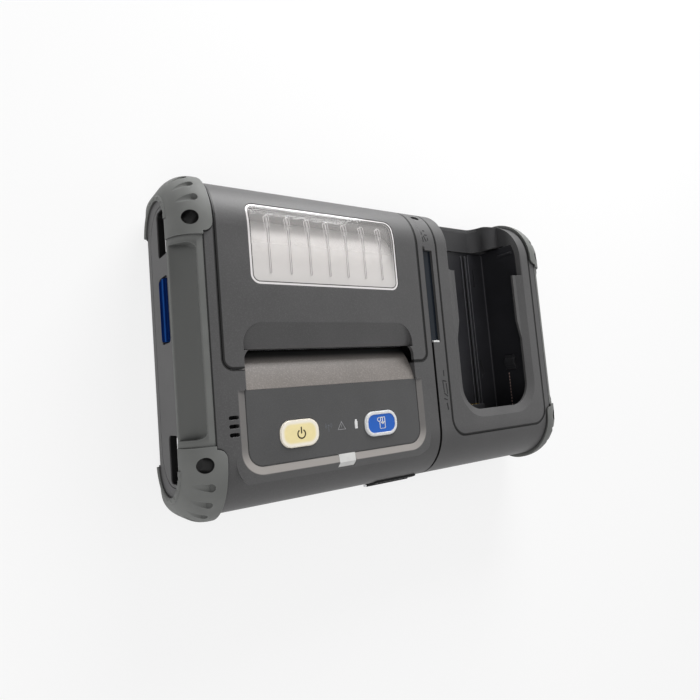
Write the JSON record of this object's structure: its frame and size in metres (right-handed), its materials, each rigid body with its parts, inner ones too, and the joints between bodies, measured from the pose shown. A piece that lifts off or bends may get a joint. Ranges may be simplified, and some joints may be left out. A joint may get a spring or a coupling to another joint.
{
  "type": "portable receipt printer with handheld cradle",
  "caption": "Portable receipt printer with rubber ends, hinged paper cover with window, key panel and a cradle that holds a handheld computer.",
  "frame": {"origin": "centre of the bounding box in plan, on the plane the rubber corners stand on", "axes": "+X along the length towards the cradle, +Y towards the paper cover's hinge, +Z out of the front face; the printer lies on its back"},
  "size_m": [0.321, 0.2052, 0.0625],
  "materials": {
    "housing_plastic": "finely textured dark grey moulding",
    "rear_plastic": "finely textured dark grey moulding",
    "cap_plastic": "smooth grey moulding",
    "bumper_rubber": "soft matt light grey",
    "cover_plastic": "finely textured dark grey moulding",
    "window": "clear polycarbonate, glossy",
    "panel_plastic": "matt film",
    "power_key": "satin cream",
    "feed_key": "satin blue",
    "release_plastic": "satin dark blue",
    "light_pipe": "translucent white",
    "guide_gloss": "polished dark blue-black",
    "inner_black": "plain black moulding",
    "liner_black": "fine matt black",
    "ramp_plastic": "satin warm grey",
    "gear_plastic": "natural acetal",
    "steel": "bright zinc-plated",
    "spring_steel": "oiled spring wire",
    "brass": "turned",
    "bush_bronze": "sintered",
    "motor_can": "satin dark grey",
    "heatsink": "extruded",
    "head_ceramic": "glazed strip",
    "platen_rubber": "ground smooth",
    "port_rubber": "matt",
    "board": "solder resist",
    "dome_metal": "bright",
    "contact_gold": "gold flashed",
    "pack_wrap": "shrink sleeve",
    "paper": "smooth coated thermal paper",
    "core": "plain"
  },
  "bodies": {
    "housing": {"rear_housing": "rear_plastic", "printer_housing": "housing_plastic", "cradle_housing": "housing_plastic", "left_end_cap": "cap_plastic", "right_end_cap": "cap_plastic", "left_bumper": "bumper_rubber", "right_bumper": "bumper_rubber", "housing_screws": "steel", "battery_door": "rear_plastic", "battery_pack": "pack_wrap", "roll_bay": "inner_black", "roll_hubs": "inner_black", "cover_hinge_pins": "steel", "mech_frame": "steel", "platen_bushes": "bush_bronze", "idler_pin": "steel", "drive_motor": "motor_can", "exit_ramp": "ramp_plastic", "control_panel": "panel_plastic", "key_board": "board", "power_dome": "dome_metal", "feed_dome": "dome_metal", "light_pipe": "light_pipe", "speaker": "inner_black", "main_board": "board", "card_guide": "guide_gloss", "card_reader": "heatsink", "cradle_bezel": "housing_plastic", "cradle_liner": "liner_black", "dock_connector": "inner_black", "dock_contacts": "contact_gold", "port_block": "inner_black", "port_hinge_pin": "steel"},
    "cover": {"cover_shell": "cover_plastic", "cover_window": "window", "tear_bar": "steel", "head_springs": "spring_steel"},
    "print_head": {"print_head": "head_ceramic", "head_bracket": "heatsink"},
    "paper": {"paper_roll": "paper", "paper_core": "core"},
    "platen": {"platen_roller": "platen_rubber", "platen_shaft": "steel", "platen_gear": "gear_plastic"},
    "idler": {"idler_gear": "gear_plastic"},
    "motor_rotor": {"motor_pinion": "brass", "motor_shaft": "steel"},
    "release": {"release_button": "release_plastic", "latch_bar": "steel"},
    "power_key": {"power_key": "power_key"},
    "feed_key": {"feed_key": "feed_key"},
    "cradle_latch": {"cradle_latch": "inner_black"},
    "port_cover": {"port_cover": "port_rubber"}
  },
  "joints": [
    {"name": "cover_hinge", "type": "hinge", "parent": "housing", "child": "cover", "pos_m": [-0.062, 0.0958, 0.026], "axis": [-1, 0, 0], "range_deg": [0, 95]},
    {"name": "print_head_lift", "type": "slide", "parent": "cover", "child": "print_head", "axis": [0, 0, 1], "range_m": [0, 0.0008], "stiffness_N_per_m": 1500, "springref_m": -0.002, "deforming": ["head_springs"]},
    {"name": "roll_spin", "type": "hinge", "parent": "housing", "child": "paper", "pos_m": [-0.062, 0.053, 0.03], "axis": [1, 0, 0], "continuous": true},
    {"name": "platen_spin", "type": "hinge", "parent": "housing", "child": "platen", "pos_m": [-0.062, 0.002, 0.04], "axis": [1, 0, 0], "continuous": true},
    {"name": "idler_spin", "type": "hinge", "parent": "housing", "child": "idler", "pos_m": [-0.1271, -0.00502, 0.02021], "axis": [1, 0, 0], "continuous": true},
    {"name": "motor_spin", "type": "hinge", "parent": "housing", "child": "motor_rotor", "pos_m": [-0.12, -0.024, 0.021], "axis": [1, 0, 0], "continuous": true},
    {"name": "release_slide", "type": "slide", "parent": "housing", "child": "release", "axis": [1, 0, 0], "range_m": [0, 0.003], "stiffness_N_per_m": 300, "springref_m": -0.001},
    {"name": "power_key_press", "type": "slide", "parent": "housing", "child": "power_key", "axis": [0, 0, -1], "range_m": [0, 0.0012], "stiffness_N_per_m": 600, "springref_m": -0.0004, "deforming": ["power_dome"]},
    {"name": "feed_key_press", "type": "slide", "parent": "housing", "child": "feed_key", "axis": [0, 0, -1], "range_m": [0, 0.0012], "stiffness_N_per_m": 600, "springref_m": -0.0004, "deforming": ["feed_dome"]},
    {"name": "cradle_latch_slide", "type": "slide", "parent": "housing", "child": "cradle_latch", "axis": [1, 0, 0], "range_m": [0, 0.003], "stiffness_N_per_m": 400, "springref_m": -0.001},
    {"name": "port_cover_flap", "type": "hinge", "parent": "housing", "child": "port_cover", "pos_m": [-0.0075, -0.1005, 0.0273], "axis": [1, 0, 0], "range_deg": [0, 100]}
  ],
  "couplings": [
    {"joint": "idler_spin", "follows": "platen_spin", "ratio": -0.75},
    {"joint": "motor_spin", "follows": "platen_spin", "ratio": 1.2857}
  ]
}
